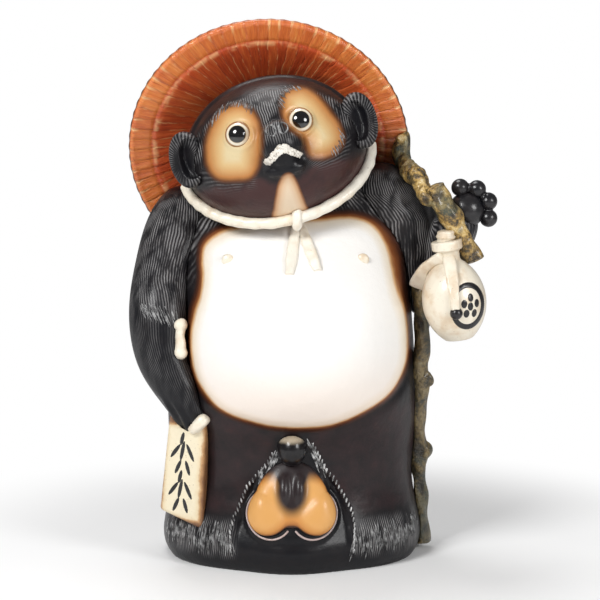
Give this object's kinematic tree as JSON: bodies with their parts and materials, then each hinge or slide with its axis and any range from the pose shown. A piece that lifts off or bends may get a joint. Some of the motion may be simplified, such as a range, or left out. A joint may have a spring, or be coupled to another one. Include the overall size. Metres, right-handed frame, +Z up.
{
  "type": "tanuki statue",
  "caption": "Standing glazed stoneware raccoon dog with a straw hat on its back, an account book, a flask and a knotty stick, hollow and open at its flat foot.",
  "frame": {"origin": "middle of the figure's footprint box, on the floor", "axes": "+Z up, the figure faces -Y, and its left side is at +X"},
  "size_m": [0.4104, 0.296, 0.6017],
  "materials": {
    "dark_brown_glaze": "glossy dark brown to black glaze over combed stoneware",
    "cream_glaze": "glossy cream glaze with brown specks",
    "bark_glaze": "mottled yellow, brown and green glaze on a knotty surface",
    "straw_glaze": "orange brown glaze over scored straw lines",
    "orange_glaze": "glossy orange brown glaze with a pale edge",
    "eye_glaze": "glossy black glaze with a cream ring"
  },
  "bodies": {
    "root": {"account_book": "cream_glaze", "bag_knob": "dark_brown_glaze", "body_back": "dark_brown_glaze", "body_front": "dark_brown_glaze", "book_tie": "cream_glaze", "cord_knot": "cream_glaze", "flask": "cream_glaze", "flask_stopper": "cream_glaze", "head_shell": "dark_brown_glaze", "held_branch": "bark_glaze", "left_arm": "dark_brown_glaze", "left_chin_cord": "cream_glaze", "left_cord_tail": "cream_glaze", "left_ear": "dark_brown_glaze", "left_eye": "eye_glaze", "left_fingers": "dark_brown_glaze", "left_nipple": "dark_brown_glaze", "left_palm": "dark_brown_glaze", "left_ribbon": "cream_glaze", "lower_lip": "dark_brown_glaze", "money_bag": "orange_glaze", "muzzle": "dark_brown_glaze", "nose": "dark_brown_glaze", "ribbon_tassel": "cream_glaze", "right_arm": "dark_brown_glaze", "right_chin_cord": "cream_glaze", "right_cord_tail": "cream_glaze", "right_ear": "dark_brown_glaze", "right_eye": "eye_glaze", "right_nipple": "dark_brown_glaze", "right_ribbon": "cream_glaze", "stick_fork": "bark_glaze", "stick_head": "bark_glaze", "stick_trunk": "bark_glaze", "straw_hat": "straw_glaze", "tail": "dark_brown_glaze", "upper_teeth": "cream_glaze", "wrist_tie": "cream_glaze"}
  },
  "joints": []
}
